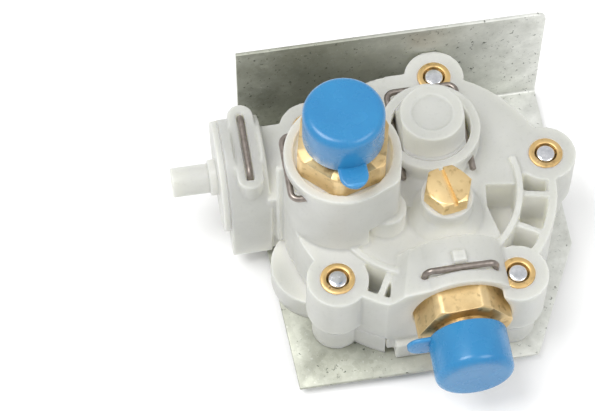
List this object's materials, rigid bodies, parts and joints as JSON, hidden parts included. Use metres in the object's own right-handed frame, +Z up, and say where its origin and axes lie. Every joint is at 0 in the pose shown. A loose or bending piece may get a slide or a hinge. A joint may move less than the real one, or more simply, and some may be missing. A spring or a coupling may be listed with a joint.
{
  "type": "diverter valve",
  "caption": "Hydraulic diverter valve on a bent steel bracket: moulded drum housing, clipped brass connectors with blue covers, side hose spigot, filter plug and adjusting screw.",
  "frame": {"origin": "middle of the footprint, on the surface under the heads of the housing screws", "axes": "+Z up along the drum axis, -Y out of the level outlet at the front, -X out of the hose spigot"},
  "size_m": [0.1244, 0.1112, 0.09],
  "materials": {
    "galvanised_steel": "galvanised, dull, fine spangle",
    "housing_plastic": "natural translucent moulding, satin",
    "spigot_plastic": "natural translucent moulding, slightly clearer, satin",
    "zinc_screw": "bright zinc plate",
    "insert_brass": "turned brass",
    "connector_brass": "machined brass with a dull face and bright edges",
    "adjuster_brass": "bright milled brass",
    "cap_plastic": "soft blue polyethylene, glossy",
    "clip_steel": "drawn stainless wire, dull grey",
    "seal_rubber": "black moulded rubber, matt",
    "inner_plastic": "dark moulded acetal",
    "rod_steel": "ground stainless steel",
    "strainer_mesh": "moulded strainer basket"
  },
  "bodies": {
    "valve_body": {"bracket_plate": "galvanised_steel", "lower_shell": "housing_plastic", "upper_housing": "housing_plastic", "boss_inserts": "insert_brass", "housing_screws": "zinc_screw", "diaphragm": "seal_rubber", "rod_gland": "inner_plastic", "rod_o_ring": "seal_rubber", "valve_seat": "insert_brass", "return_spring": "rod_steel", "cartridge_plug": "housing_plastic", "plug_o_ring": "seal_rubber", "strainer": "strainer_mesh"},
    "plunger": {"diaphragm_plate": "inner_plastic", "diaphragm_retainer": "rod_steel", "push_rod": "rod_steel", "valve_washer": "seal_rubber", "valve_disc": "inner_plastic"},
    "adjuster_carrier": {"adjuster_o_ring": "seal_rubber"},
    "adjuster": {"adjuster_screw": "adjuster_brass"},
    "inlet_fitting": {"inlet_connector": "connector_brass", "inlet_o_ring": "seal_rubber"},
    "inlet_cover": {"inlet_cap": "cap_plastic"},
    "outlet_fitting": {"outlet_connector": "connector_brass", "outlet_o_ring": "seal_rubber"},
    "outlet_cover": {"outlet_cap": "cap_plastic"},
    "side_fitting": {"side_spigot": "spigot_plastic", "side_o_ring": "seal_rubber"},
    "inlet_staple": {"inlet_clip": "clip_steel"},
    "outlet_staple": {"outlet_clip": "clip_steel"},
    "side_staple": {"side_clip": "clip_steel"},
    "plug_staple": {"plug_clip": "clip_steel"}
  },
  "joints": [
    {"name": "plunger_lift", "type": "slide", "parent": "valve_body", "child": "plunger", "axis": [0, 0, 1], "range_m": [0, 0.003], "stiffness_N_per_m": 1500, "springref_m": -0.003, "deforming": ["diaphragm", "return_spring"]},
    {"name": "adjuster_rise", "type": "slide", "parent": "valve_body", "child": "adjuster_carrier", "axis": [0, 0, 1], "range_m": [0, 0.00125]},
    {"name": "adjuster_turn", "type": "hinge", "parent": "adjuster_carrier", "child": "adjuster", "pos_m": [0.01829, -0.00375, 0.0484], "axis": [0, 0, 1], "range_deg": [0, 359.9]},
    {"name": "inlet_swivel", "type": "hinge", "parent": "valve_body", "child": "inlet_fitting", "pos_m": [-0.01221, 0.00575, 0.0664], "axis": [0, 0, 1], "continuous": true},
    {"name": "inlet_cap_off", "type": "slide", "parent": "inlet_fitting", "child": "inlet_cover", "axis": [0, 0, 1], "range_m": [0, 0.02]},
    {"name": "outlet_swivel", "type": "hinge", "parent": "valve_body", "child": "outlet_fitting", "pos_m": [0.01829, -0.03195, 0.0279], "axis": [0, -1, 0], "continuous": true},
    {"name": "outlet_cap_off", "type": "slide", "parent": "outlet_fitting", "child": "outlet_cover", "axis": [0, -1, 0], "range_m": [0, 0.02]},
    {"name": "side_swivel", "type": "hinge", "parent": "valve_body", "child": "side_fitting", "pos_m": [-0.04581, 0.02505, 0.0279], "axis": [-1, 0, 0], "continuous": true},
    {"name": "inlet_clip_out", "type": "slide", "parent": "valve_body", "child": "inlet_staple", "axis": [-1, 0, 0], "range_m": [0, 0.03]},
    {"name": "outlet_clip_out", "type": "slide", "parent": "valve_body", "child": "outlet_staple", "axis": [0, 0, 1], "range_m": [0, 0.03]},
    {"name": "side_clip_out", "type": "slide", "parent": "valve_body", "child": "side_staple", "axis": [0, 0, 1], "range_m": [0, 0.03]},
    {"name": "plug_clip_out", "type": "slide", "parent": "valve_body", "child": "plug_staple", "axis": [0, 1, 0], "range_m": [0, 0.012]}
  ],
  "couplings": [
    {"joint": "adjuster_rise", "follows": "adjuster_turn", "m_per_rad": 0.00019894}
  ]
}
